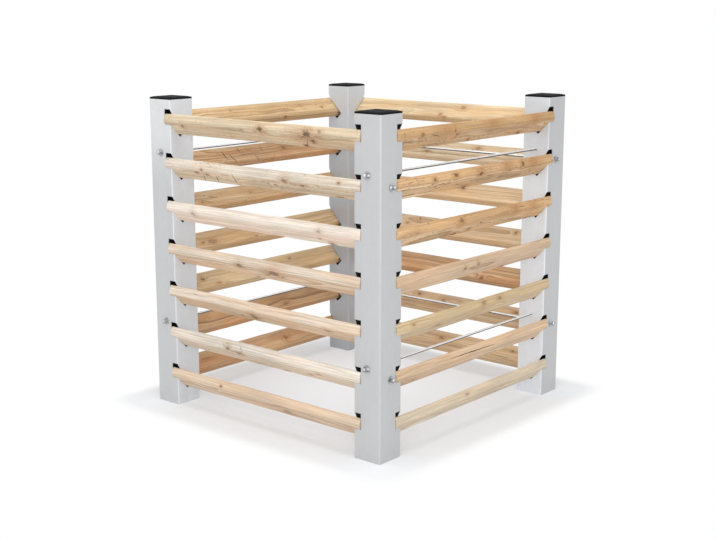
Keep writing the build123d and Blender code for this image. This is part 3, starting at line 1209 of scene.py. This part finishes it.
class ShapeTree(GroupGraph):
    """A Geometry Nodes tree with named inputs that ends in one dressed mesh."""

    AT_END = 0.0005

    def __init__(self, name: str, takes: dict[str, Any]) -> None:
        """Starts the tree.

        Args:
            name: the tree's name.
            takes: each input's name and default.
        """
        common = {"Place": NOWHERE, "Turn": NOWHERE, "Finish": "NodeSocketMaterial"}
        super().__init__(name, {**takes, **common}, "GeometryNodeTree")

    def position(self) -> Socket:
        """Where each point lies."""
        return self.out("GeometryNodeInputPosition")

    def turned(self, angles: Socket) -> Socket:
        """Rotation of three angles."""
        return self.out("FunctionNodeEulerToRotation", {0: angles})

    def lifted(self, geometry: Socket, height: Socket) -> Socket:
        """Moves geometry up."""
        return self.out("GeometryNodeTransform", {"Geometry": geometry, "Translation": self.joined(Z=height)})

    def scaled(self, vector: Socket, size: Socket) -> Socket:
        """Multiplies a vector by a value."""
        return self.out("ShaderNodeVectorMath", {0: vector, "Scale": size}, "Vector", operation="SCALE")

    def spine(self, count: int, end_band: float, easing: Socket) -> tuple[Socket, Socket, Socket]:
        """Points along X, of which the last but one at each end goes to the shoulder of the eased end.

        Args:
            count: number of points.
            end_band: distance from an end within which only those two points lie.
            easing: length of the eased end.

        Returns:
            The points, each point's distance from its end and whether it is the last.
        """
        half = self.times(self.takes["Length"], 0.5)
        ends = {"Start": self.joined(X=self.times(half, -1.0)), "End": self.joined(X=half)}
        line = self.out("GeometryNodeCurvePrimitiveLine", ends)
        points = self.out("GeometryNodeResampleCurve", {"Curve": line, "Count": count})
        x = self.part(self.position(), "X")
        left = self.less(half, self.math("ABSOLUTE", x))
        at_end = self.math("LESS_THAN", left, self.AT_END)
        beside = self.less(self.math("LESS_THAN", left, end_band), at_end)
        shoulder = self.times(self.math("SIGN", x), self.less(half, easing))
        moved_x = self.times_plus(beside, self.less(shoulder, x), x)
        moved = {"Geometry": points, "Position": self.joined(X=moved_x)}
        return self.out("GeometryNodeSetPosition", moved), left, at_end

    def swept(self, spine: Socket, outline: Socket, at_end: Socket, shrink: Socket) -> Socket:
        """Sweeps an outline along a spine and shrinks it at the ends.

        Args:
            spine: the points along it.
            outline: the closed outline.
            at_end: whether a point is the last.
            shrink: share that the outline loses there.

        Returns:
            The closed bar's mesh.
        """
        size = self.less(1.0, self.times(at_end, shrink))
        parts = {"Curve": spine, "Profile Curve": outline, "Scale": size, "Fill Caps": True}
        return self.out("GeometryNodeCurveToMesh", parts)

    def rounded(self, outline: Socket, radius: Any, corner: int, pitch: float) -> Socket:
        """Rounds the corners of a four-sided outline and adds points along its flats.

        Args:
            outline: the closed outline.
            radius: corner radius, as a value or a field.
            corner: points round each corner.
            pitch: distance between points on the flats.

        Returns:
            The rounded outline's socket.
        """
        rounding = {"Curve": outline, "Count": corner, "Radius": radius}
        round_box = self.out("GeometryNodeFilletCurve", rounding, mode="POLY")
        here = self.position()
        index = self.out("GeometryNodeOffsetPointInCurve", {"Offset": 1}, "Point Index")
        spot = {"Value": here, "Index": index}
        ahead = self.out("GeometryNodeFieldAtIndex", spot, data_type="FLOAT_VECTOR")
        cuts = self.math("FLOOR", self.math("DIVIDE", self.vector("DISTANCE", here, ahead), pitch))
        return self.out("GeometryNodeSubdivideCurve", {"Curve": round_box, "Cuts": cuts})

    def end(self, geometry: Socket, crease: float = SOFT_EDGE) -> None:
        """Smooths all but the creased edges, puts the piece in its place and gives it its finish.

        Args:
            geometry: the shaped geometry.
            crease: edge angle in radians above which an edge stays sharp.
        """
        real = self.out("GeometryNodeRealizeInstances", {"Geometry": geometry})
        angle = self.out("GeometryNodeInputMeshEdgeAngle", output="Unsigned Angle")
        sides = {0: angle, 1: crease}
        soft = self.out("FunctionNodeCompare", sides, data_type="FLOAT", operation="LESS_THAN")
        for domain, smooth in (("FACE", True), ("EDGE", soft)):
            whole = {"Geometry": real, "Shade Smooth": smooth}
            real = self.out("GeometryNodeSetShadeSmooth", whole, domain=domain)
        move = {"Translation": self.takes["Place"], "Rotation": self.turned(self.takes["Turn"])}
        placed = self.out("GeometryNodeTransform", {"Geometry": real, **move})
        dress = {"Geometry": placed, "Material": self.takes["Finish"]}
        self.give({"Geometry": self.out("GeometryNodeSetMaterial", dress)}, "NodeSocketGeometry")

    def shape(self, name: str, values: dict[str, Any]) -> Piece:
        """Runs the tree with its inputs set and keeps the result as a plain mesh.

        Args:
            name: the new piece's name.
            values: value of each named input that isn't left at its default.

        Returns:
            The piece, at the origin.
        """
        carrier = add_object(f"{name}_carrier", bpy.data.meshes.new(f"{name}_carrier"))
        modifier = carrier.modifiers.new("shape", "NODES")
        modifier.node_group = self.tree
        for item in self.tree.interface.items_tree:
            if item.in_out == "INPUT" and item.name in values:
                modifier[item.identifier] = values[item.name]
        depsgraph = bpy.context.evaluated_depsgraph_get()
        mesh = bpy.data.meshes.new_from_object(
            carrier.evaluated_get(depsgraph), preserve_all_data_layers=True, depsgraph=depsgraph
        )
        bpy.data.objects.remove(carrier)
        mesh.name = name
        return add_object(name, mesh)


class SlatTree(ShapeTree):
    """A planed slat along X: slanted section, round nose, eased ends, and a slight bow between its seats."""

    CREASE = 0.5
    POINTS = 122
    END_BAND = 0.010
    END_SHRINK = 2.4
    CORNER_POINTS = 9
    FLAT_PITCH = 0.006
    FREE_LIMITS = (0.045, 0.20)
    SWAY = ((2.2, 0.0, 0.0), 0.0, 0.5)
    WAVE = ((11.0, 45.0, 45.0), 1.0, 0.5)
    WAVE_MIDDLE = 0.56

    def __init__(self) -> None:
        """Builds the tree."""
        planing = {"End Easing": 0.0015, "Bow": 0.0012, "Ripple": 0.0009, "Seed": 0.0}
        super().__init__("larch_slat", {"Length": 0.806, **inputs_of(SlatSection()), **planing})
        easing = self.takes["End Easing"]
        spine, left, at_end = self.spine(self.POINTS, self.END_BAND, easing)
        outline = self.rounded(self._section(), self._radius(), self.CORNER_POINTS, self.FLAT_PITCH)
        shrink = self.math("DIVIDE", self.times(easing, self.END_SHRINK), self.takes["Width"])
        bar = self.swept(spine, outline, at_end, shrink)
        spot = self.position()
        own = {"Geometry": bar, "Name": PLACE_NAME, "Value": spot}
        kept = self.out("GeometryNodeStoreNamedAttribute", own, data_type="FLOAT_VECTOR", domain="POINT")
        free = self.step(left, *self.FREE_LIMITS)
        seed = self.takes["Seed"]
        far = self.vector("ADD", spot, self.joined(X=seed, Y=seed))
        sway = self.vector("SUBTRACT", self.noise(far, *self.SWAY)["Color"], MID_GREY)
        level = self.vector("MULTIPLY", sway, (0.0, 2.0, 2.0))
        bowed = self.scaled(level, self.times(free, self.takes["Bow"]))
        wave = self.less(self.noise(far, *self.WAVE)["Fac"], self.WAVE_MIDDLE)
        depth = self.times(wave, self.times(free, self.takes["Ripple"]))
        rippled = self.scaled(self.out("GeometryNodeInputNormal"), depth)
        moved = {"Geometry": kept, "Offset": self.vector("ADD", bowed, rippled)}
        self.end(self.out("GeometryNodeSetPosition", moved), self.CREASE)

    def _section(self) -> Socket:
        """Sharp-cornered section, whose X and Y are turned round when it is swept along the slat.

        Returns:
            The outline's socket.
        """
        sizes = {
            "Width": self.takes["Width"],
            "Height": self.takes["Thickness"],
            "Offset": self.times(self.takes["Slant Run"], -1.0),
        }
        return self.out("GeometryNodeCurvePrimitiveQuadrilateral", sizes, mode="PARALLELOGRAM")

    def _radius(self) -> Socket:
        """Radius of each corner of the section, told apart by where the corner lies.

        Returns:
            The radius as a field.
        """
        spot = self.position()
        outer, low = (self.math("LESS_THAN", self.part(spot, axis), 0.0) for axis in ("X", "Y"))
        pairs = []
        for lower, upper in (("Nose Radius", "Top Radius"), ("Foot Radius", "Inner Radius")):
            more = self.less(self.takes[lower], self.takes[upper])
            pairs.append(self.times_plus(more, low, self.takes[upper]))
        return self.times_plus(self.less(pairs[0], pairs[1]), outer, pairs[1])


@dataclass(frozen=True)
class RodSizes:
    """Sizes of a tie rod in metres."""

    radius: float = 0.004
    chamfer: float = 0.001


@dataclass(frozen=True)
class FastenerSizes:
    """Sizes of a rod end's washer and cap nut in metres."""

    washer_radius: float = 0.012
    washer_bore: float = 0.0042
    washer_thickness: float = 0.002
    across_flats: float = 0.013
    hex_height: float = 0.0065
    nut_height: float = 0.015
    dome_radius: float = 0.0062


class RodTree(ShapeTree):
    """A round rod along X with chamfered ends."""

    POINTS = 42
    END_BAND = 0.03
    SIDES = 32

    def __init__(self) -> None:
        """Builds the tree."""
        super().__init__("tie_rod", {"Length": 0.974, **inputs_of(RodSizes())})
        chamfer, radius = self.takes["Chamfer"], self.takes["Radius"]
        spine, _, at_end = self.spine(self.POINTS, self.END_BAND, chamfer)
        ring = self.out("GeometryNodeCurvePrimitiveCircle", {"Resolution": self.SIDES, "Radius": radius})
        self.end(self.swept(spine, ring, at_end, self.math("DIVIDE", chamfer, radius)))


class FastenerTree(ShapeTree):
    """Four washers or four cap nuts at the corners of a side's rods, facing outwards along X."""

    WASHER_SIDES = 48
    WASHER_EDGE = 0.0004
    WASHER_POINTS = (2, 1.0)
    DOME_SIDES = 32
    DOME_RINGS = 20
    TIP_SHARE = 0.485
    CONE_SLOPE = 1.732

    def __init__(self) -> None:
        """Builds the tree."""
        sizes = {"Span": 0.95, "Rise": 0.552, **inputs_of(FastenerSizes()), "Nuts": 1.0, "Seed": 0}
        super().__init__("rod_end_fasteners", sizes)
        takes = self.takes
        grid = {"Size X": takes["Rise"], "Size Y": takes["Span"], "Vertices X": 2, "Vertices Y": 2}
        corners = self.out("GeometryNodeMeshGrid", grid)
        for turn in ((0.0, QUARTER_TURN, 0.0), (0.0, 0.0, QUARTER_TURN)):
            corners = self.out("GeometryNodeTransform", {"Geometry": corners, "Rotation": turn})
        angles = {2: 0.0, 3: math.pi / 3, "Seed": takes["Seed"]}
        spin = self.joined(Z=self.out("FunctionNodeRandomValue", angles, 1, data_type="FLOAT"))
        end = self.math("SIGN", self.part(self.position(), "X"))
        outwards = self.joined(Y=self.times(end, QUARTER_TURN))
        turns = {"Rotation": self.turned(outwards), "Rotate By": self.turned(spin)}
        spun = self.out("FunctionNodeRotateRotation", turns, rotation_space="LOCAL")
        nuts = self.math("GREATER_THAN", takes["Nuts"], 0.5)
        choice = {"Switch": nuts, "False": self._washer(), "True": self._nut()}
        pick = self.out("GeometryNodeSwitch", choice, input_type="GEOMETRY")
        copies = {"Points": corners, "Instance": pick, "Rotation": spun}
        self.end(self.out("GeometryNodeInstanceOnPoints", copies))

    def _washer(self) -> Socket:
        """A flat ring with eased edges on the face it is fitted to.

        Returns:
            The washer's geometry.
        """
        outer, bore, thick = (self.takes[f"Washer {part}"] for part in ("Radius", "Bore", "Thickness"))
        middle = self.times(self.math("ADD", outer, bore), 0.5)
        round_path = {"Resolution": self.WASHER_SIDES, "Radius": middle}
        path = self.out("GeometryNodeCurvePrimitiveCircle", round_path)
        flat = {"Width": self.less(outer, bore), "Height": thick}
        box = self.out("GeometryNodeCurvePrimitiveQuadrilateral", flat)
        outline = self.rounded(box, self.WASHER_EDGE, *self.WASHER_POINTS)
        ring = self.out("GeometryNodeCurveToMesh", {"Curve": path, "Profile Curve": outline})
        return self.lifted(ring, self.times(thick, 0.5))

    def _nut(self) -> Socket:
        """A hexagon with turned corners and a polished dome, standing on the washer.

        Returns:
            The nut's geometry.
        """
        flats, high, dome = (self.takes[label] for label in ("Across Flats", "Hex Height", "Dome Radius"))
        hexagon = {"Vertices": 6, "Radius": self.math("DIVIDE", flats, math.sqrt(3.0)), "Depth": high}
        prism = self.out("GeometryNodeMeshCylinder", hexagon, "Mesh")
        tip = self.times(flats, self.TIP_SHARE)
        wide = self.times_plus(high, self.CONE_SLOPE, tip)
        turning = {"Vertices": self.WASHER_SIDES, "Radius Top": tip, "Radius Bottom": wide, "Depth": high}
        cone = self.out("GeometryNodeMeshCone", turning, "Mesh")
        turned = self.add("GeometryNodeMeshBoolean", operation="INTERSECT", solver="EXACT")
        for mesh in (self.lifted(prism, self.times(high, 0.5)), cone):
            self.link(mesh, turned.inputs["Mesh 2"])
        neck_high = self.less(self.takes["Nut Height"], dome)
        shank = {"Vertices": self.DOME_SIDES, "Radius": dome, "Depth": neck_high}
        neck = self.lifted(self.out("GeometryNodeMeshCylinder", shank, "Mesh"), self.times(neck_high, 0.5))
        globe = {"Segments": self.DOME_SIDES, "Rings": self.DOME_RINGS, "Radius": dome}
        ball = self.lifted(self.out("GeometryNodeMeshUVSphere", globe, "Mesh"), neck_high)
        joined = self.add("GeometryNodeJoinGeometry")
        for part in (turned.outputs["Mesh"], neck, ball):
            self.link(part, joined.inputs[0])
        return self.lifted(joined.outputs[0], self.takes["Washer Thickness"])


def turn_of(across: Vector, width: Vector) -> Triple:
    """Euler turn that lays X and Y along two directions at a right angle."""
    turn = Matrix((across, width, across.cross(width))).transposed().to_euler()
    return (turn.x, turn.y, turn.z)


def middle_of(node: str) -> Vector:
    """Middle of a node's box at rest."""
    low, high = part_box(node)
    return (low + high) / 2


def span_of(node: str, direction: Vector) -> float:
    """Length of a node's box along a direction that lies on an axis."""
    low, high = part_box(node)
    return abs((high - low).dot(direction))


@dataclass
class SlatWall:
    """The seven slats of one side, each its own body."""

    side: Side
    count: int = 7
    section: SlatSection = SlatSection()
    finish: LarchFinish = LarchFinish()
    seed_step: int = 100
    seed_scale: float = 0.37

    def build(self, tree: SlatTree, effects: EffectGroups) -> list[Piece]:
        """Shapes and dresses the slats.

        Args:
            tree: the slat's shape.
            effects: the shared groups.

        Returns:
            The slats, top one first.
        """
        pieces = []
        turn = turn_of(self.side.run, (self.side.outward + UP).normalized())
        for number in range(1, self.count + 1):
            node = f"{self.side.label}_slat_{number}"
            seed = self.seed_step * self.side.number + number
            values = {
                "Length": span_of(node, self.side.run),
                **inputs_of(self.section),
                "Seed": self.seed_scale * seed,
                "Place": self.section.place(node, self.side),
                "Turn": turn,
                "Finish": self.finish.material(effects, f"larch_{node}", MARKS[node], seed),
            }
            piece = tree.shape(f"{node}_larch", values)
            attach(piece, node)
            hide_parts(node)
            pieces.append(piece)
        return pieces


@dataclass
class TieRods:
    """The rods of one side with their washers and cap nuts."""

    side: Side
    rod: RodSizes = RodSizes()
    ends: FastenerSizes = FastenerSizes()
    zinc: BrightZincFinish = BrightZincFinish()
    # The rods' finish, with painted shade on their undersides.
    drawn: BrightZincFinish = BrightZincFinish(
        name="bright_drawn_rod",
        light=(0.93, 0.95, 0.98),
        dark=(0.80, 0.82, 0.85),
        roughness=0.14,
        under_share=0.12,
        metallic=0.35,
    )

    def build(
        self, rod_tree: RodTree, end_tree: FastenerTree, drawn: Material, zinc: Material
    ) -> list[Piece]:
        """Shapes and dresses the rods, washers and nuts.

        Args:
            rod_tree: the rod's shape.
            end_tree: the shape of the rod ends' washers and nuts.
            drawn: the rods' finish.
            zinc: the washers' and nuts' finish.

        Returns:
            The pieces.
        """
        label, run = self.side.label, self.side.run
        turn = turn_of(run, UP.cross(run))
        upper, lower = (middle_of(f"{label}_rod_{level}") for level in ("upper", "lower"))
        pieces = []
        for level, middle in (("upper", upper), ("lower", lower)):
            node = f"{label}_rod_{level}"
            sizes = {"Length": span_of(node, run), **inputs_of(self.rod)}
            values = {**sizes, "Place": middle, "Turn": turn, "Finish": drawn}
            pieces.append(self._hand_over(rod_tree.shape(f"{node}_plated", values), node))
        span = span_of(f"{label}_rod_washers", run) - 2 * self.ends.washer_thickness
        sizes = {"Span": span, "Rise": (upper - lower).z, **inputs_of(self.ends), "Seed": self.side.number}
        for part, is_nut in (("rod_washers", 0.0), ("cap_nuts", 1.0)):
            node = f"{label}_{part}"
            values = {**sizes, "Nuts": is_nut, "Place": (upper + lower) / 2, "Turn": turn, "Finish": zinc}
            pieces.append(self._hand_over(end_tree.shape(f"{node}_plated", values), node))
        return pieces

    @staticmethod
    def _hand_over(piece: Piece, node: str) -> Piece:
        """Puts a finished piece in its node's stead.

        Args:
            piece: the piece.
            node: the node that it replaces.

        Returns:
            The piece.
        """
        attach(piece, "frame")
        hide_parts(node)
        return piece


@dataclass(frozen=True)
class Weathering:
    """Painted light and shade on a post: how bright its coat is drawn, as shares at its top and from its
    middle down.
    """

    outer: Range = (1.0, 1.0)
    inward: Range = (1.0, 1.0)


# Painted light and shade: each post's outside and its faces towards the bin are drawn lighter or darker at
# the top and towards the foot, for the light that falls there.
PAINTED_POST_LIGHT: dict[str, Weathering] = {
    "front_left": Weathering((1.22, 0.97), (0.99, 1.01)),
    "front_right": Weathering((0.90, 0.90)),
    "back_right": Weathering((0.91, 0.95), (0.93, 1.15)),
    "back_left": Weathering((0.95, 0.95), (0.85, 0.66)),
}


@dataclass
class CornerPosts:
    """The four posts, matt outside and dark inside as painted shade, with their caps and the dark sheets of
    painted shade behind their slots.
    """

    wall: float = 0.002
    wall_slack: float = 0.0002
    merge_distance: float = 1e-6
    inward_limit: float = 0.4
    # Gap, thickness and height span of the dark sheets of painted shade inside the posts.
    liner_gap: float = 0.003
    liner_thickness: float = 0.0015
    liner_ends: Range = (0.03, 0.97)
    steel: GalvanisedFinish = GalvanisedFinish()
    # Painted shade: a near-black copy of the post steel for the inside of the tube.
    inside: GalvanisedFinish = GalvanisedFinish(
        name="shaded_tube_inside",
        light=(0.030, 0.030, 0.031),
        dark=(0.018, 0.018, 0.019),
        bend_colour=(0.04, 0.04, 0.041),
        dust_colour=(0.05, 0.048, 0.045),
        roughness=0.85,
        metallic=0.0,
    )
    # Painted light: a lighter, cooler copy of the post steel for the faces towards the bin.
    inward: GalvanisedFinish = GalvanisedFinish(
        name="sheltered_post_steel",
        light=(0.72, 0.755, 0.80),
        dark=(0.69, 0.725, 0.77),
    )
    plastic: MouldedPlasticFinish = MouldedPlasticFinish()

    def build(self, effects: EffectGroups) -> list[Piece]:
        """Makes the posts' sheets from their solids and gives the caps their finish.

        Args:
            effects: the shared groups.

        Returns:
            The posts, the caps and the dark sheets of painted shade.
        """
        inside = self.inside.material(effects)
        plastic = self.plastic.material(effects)
        pieces = []
        # Each post gets its own lit and shaded copies of the steel, with painted light levels.
        for corner, painted_levels in PAINTED_POST_LIGHT.items():
            outer, inward = (
                replace(kind, name=f"{kind.name}_{corner}", top_share=top, foot_share=foot).material(effects)
                for kind, (top, foot) in ((self.steel, painted_levels.outer), (self.inward, painted_levels.inward))
            )
            pieces.append(self._sheet(f"post_{corner}", (outer, inside, inward)))
            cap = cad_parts[f"cap_{corner}"]
            for slot in cap.material_slots:
                slot.link = "OBJECT"
                slot.material = plastic
            pieces.append(cap)
            # A black sheet of painted shade inside each post, behind the slats' ends.
            pieces.append(self._liner(corner, plastic))
        return pieces

    @staticmethod
    def _piece(name: str, shape: bmesh.types.BMesh, finishes: tuple[Material, ...]) -> Piece:
        """Makes a finished shape an object.

        Args:
            name: the piece's name.
            shape: its shape, which is freed.
            finishes: its finishes, in the order of its faces' numbers.

        Returns:
            The piece.
        """
        mesh = bpy.data.meshes.new(name)
        shape.to_mesh(mesh)
        shape.free()
        for finish in finishes:
            mesh.materials.append(finish)
        return add_object(name, mesh)

    def _liner(self, corner: str, finish: Material) -> Piece:
        """Folds the dark angle of painted shade that closes the view into a post behind the slats' ends.

        Args:
            corner: the post's corner.
            finish: its finish.

        Returns:
            The dark sheet.
        """
        low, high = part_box(f"post_{corner}")
        sign_x, sign_y = (math.copysign(1.0, total) for total in (low + high).xy)
        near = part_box("front_slat_1")[1].x + self.liner_gap
        far = max(abs(low.x), abs(high.x)) - self.wall - self.liner_thickness / 2
        back = near + self.liner_thickness
        angle = [(near, far), (near, near), (far, near), (far, back), (back, back), (back, far)]
        fold = bmesh.new()
        rings = []
        for height in self.liner_ends:
            ring = [fold.verts.new((sign_x * x, sign_y * y, height)) for x, y in angle]
            rings.append(ring)
            fold.faces.new(ring)
        for start, end in zip(range(len(angle)), (*range(1, len(angle)), 0)):
            fold.faces.new((rings[0][start], rings[0][end], rings[1][end], rings[1][start]))
        bmesh.ops.recalc_face_normals(fold, faces=fold.faces)
        shade_sheet = self._piece(f"post_{corner}_liner", fold, (finish,))
        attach(shade_sheet, "frame")
        return shade_sheet

    def _sheet(self, node: str, finishes: tuple[Material, ...]) -> Piece:
        """Merges a copy of a post's solid and tells the tube's inside and the faces towards the bin apart.

        Args:
            node: the post's node.
            finishes: finish of the outside, of the tube's inside and of the faces towards the bin.

        Returns:
            The sheet.
        """
        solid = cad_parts[node]
        low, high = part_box(node)
        middle = (low + high) / 2
        reach = (high.x - low.x) / 2 - self.wall + self.wall_slack
        shell = bmesh.new()
        shell.from_mesh(solid.data)
        shell.transform(solid.matrix_world)
        bmesh.ops.remove_doubles(shell, verts=shell.verts, dist=self.merge_distance)
        for face in shell.faces:
            spot = face.calc_center_median() - middle
            inner = max(abs(spot.x), abs(spot.y)) < reach
            inward = any(
                turn * place < -self.inward_limit * abs(place)
                for turn, place in zip(face.normal.xy, middle.xy)
            )
            # The tube's inside takes the painted-shade finish, and the faces towards the bin take the painted
            # lighter copy.
            face.material_index = 1 if inner else 2 if inward else 0
            face.smooth = True
        for edge in shell.edges:
            edge.smooth = edge.is_manifold and edge.calc_face_angle() < SOFT_EDGE
        sheet = self._piece(f"{node}_sheet", shell, finishes)
        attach(sheet, "frame")
        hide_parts(node)
        return sheet


@dataclass(frozen=True)
class Softbox:
    """A square soft lamp that the camera doesn't see: its side in metres, its power in watts."""

    name: str
    place: Triple
    target: Triple
    size: float
    power: float

    def hang(self) -> None:
        """Adds the lamp, pointed at its target."""
        data = bpy.data.lights.new(self.name, "AREA")
        data.shape = "SQUARE"
        data.size = self.size
        data.energy = self.power
        lamp = add_object(self.name, data)
        lamp.location = self.place
        lamp.rotation_euler = (Vector(self.target) - Vector(self.place)).to_track_quat("-Z", "Y").to_euler()
        lamp.visible_camera = False


@dataclass
class Studio:
    """Pale floor, soft light and the camera."""

    floor_half: float = 14.0
    floor_colours: tuple[Colour, Colour] = ((0.84, 0.86, 0.89), (0.86, 0.88, 0.91))
    floor_scale: Triple = (3.0, 3.0, 3.0)
    floor_roughness: float = 0.9
    bright_from: float = 0.55
    bright_to: float = 0.62
    bright_least: float = 0.19
    corner_round: float = 0.12
    world_light: float = 0.60
    lamps: tuple[Softbox, ...] = (
        Softbox("top_softbox", (0.2, -0.4, 3.4), (0.0, 0.0, 0.4), 3.4, 70.0),
        Softbox("front_softbox", (2.8, -3.6, 2.0), (0.0, 0.0, 0.45), 2.6, 66.0),
    )
    sensor: float = 36.0
    lens: float = 62.517
    reach: float = 100.0
    azimuth: float = 40.337
    pitch: float = 11.997
    eye: Triple = (2.5997, -3.0726, 1.2827)

    def build(self) -> None:
        """Sets the floor, the light and the camera."""
        self._floor()
        self._world()
        for lamp in self.lamps:
            lamp.hang()
        self._camera()

    def _floor(self) -> None:
        """A pale floor that keeps the object's shadow inside a rounded square round the bin, lifted there by
        a share of glow, and runs out into white beyond it.
        """
        half = self.floor_half
        mesh = bpy.data.meshes.new("floor")
        corners = [(-half, -half, 0.0), (half, -half, 0.0), (half, half, 0.0), (-half, half, 0.0)]
        mesh.from_pydata(corners, [], [(0, 1, 2, 3)])
        floor = add_object("floor", mesh)
        graph = MaterialGraph("pale_floor")
        pale = graph.mix(graph.noise(graph.where, self.floor_scale)["Fac"], *self.floor_colours)
        matt = {"Base Color": pale, "Roughness": self.floor_roughness, "Specular IOR Level": 0.0}
        mesh.materials.append(graph.dress(matt))
        light = graph.out("ShaderNodeEmission", {"Color": opaque(WHITE), "Strength": 1.0})
        sides = graph.vector("ABSOLUTE", graph.where)
        away = graph.math("SMOOTH_MAX", graph.part(sides, "X"), graph.part(sides, "Y"), self.corner_round)
        # Painted light: the glow that the eye sees lifts the shadow inside the square and hides it beyond, so
        # the shadow ends at a painted edge.
        far = graph.step(away, self.bright_from, self.bright_to, self.bright_least, 1.0)
        seen = graph.times(far, self._seen(graph))
        mixed = graph.out("ShaderNodeMixShader", {0: seen, 1: graph.shader.outputs[0], 2: light})
        graph.link(mixed, graph.output.inputs["Surface"])

    @staticmethod
    def _seen(graph: Graph) -> Socket:
        """Tells what is seen, straight or in gloss or through a clear piece, from the light that falls.

        Args:
            graph: the graph of the floor or the world.

        Returns:
            The share's socket.
        """
        path = graph.add("ShaderNodeLightPath").outputs
        mirrored = graph.most(path["Is Glossy Ray"], path["Is Transmission Ray"])
        return graph.most(path["Is Camera Ray"], mirrored)

    def _world(self) -> None:
        """White surroundings for the eye and for gloss, and a softer white for the light they give."""
        world = bpy.data.worlds.new("studio")
        world.use_nodes = True
        world.node_tree.nodes.clear()
        graph = Graph(world.node_tree)
        strength = graph.times_plus(self._seen(graph), 1.0 - self.world_light, self.world_light)
        light = graph.out("ShaderNodeBackground", {"Color": opaque(WHITE), "Strength": strength})
        graph.add("ShaderNodeOutputWorld", {"Surface": light})
        bpy.context.scene.world = world

    def _camera(self) -> None:
        """Sets the camera at the photograph's viewing angle."""
        data = bpy.data.cameras.new("camera")
        data.sensor_width = self.sensor
        data.lens = self.lens
        data.clip_end = self.reach
        camera = add_object("camera", data)
        azimuth, pitch = math.radians(self.azimuth), math.radians(self.pitch)
        level = math.cos(pitch)
        back = Vector((math.sin(azimuth) * level, -math.cos(azimuth) * level, math.sin(pitch)))
        camera.location = self.eye
        camera.rotation_euler = (-back).to_track_quat("-Z", "Y").to_euler()
        bpy.context.scene.camera = camera


def main() -> None:
    """Builds and dresses every piece of the bin and sets the studio."""
    logging.basicConfig(level=logging.INFO, format="%(name)s: %(message)s")
    bpy.context.scene.view_settings.view_transform = "Standard"
    effects = EffectGroups()
    slat_tree, rod_tree, end_tree = SlatTree(), RodTree(), FastenerTree()
    zinc, drawn = TieRods.zinc.material(effects), TieRods.drawn.material(effects)
    pieces = CornerPosts().build(effects)
    for side in Side:
        pieces += SlatWall(side).build(slat_tree, effects)
        pieces += TieRods(side).build(rod_tree, end_tree, drawn, zinc)
    for piece in pieces:
        LOG.info("built %s with %d faces", piece.name, len(piece.data.polygons))
    Studio().build()


if __name__ == "__main__":
    main()
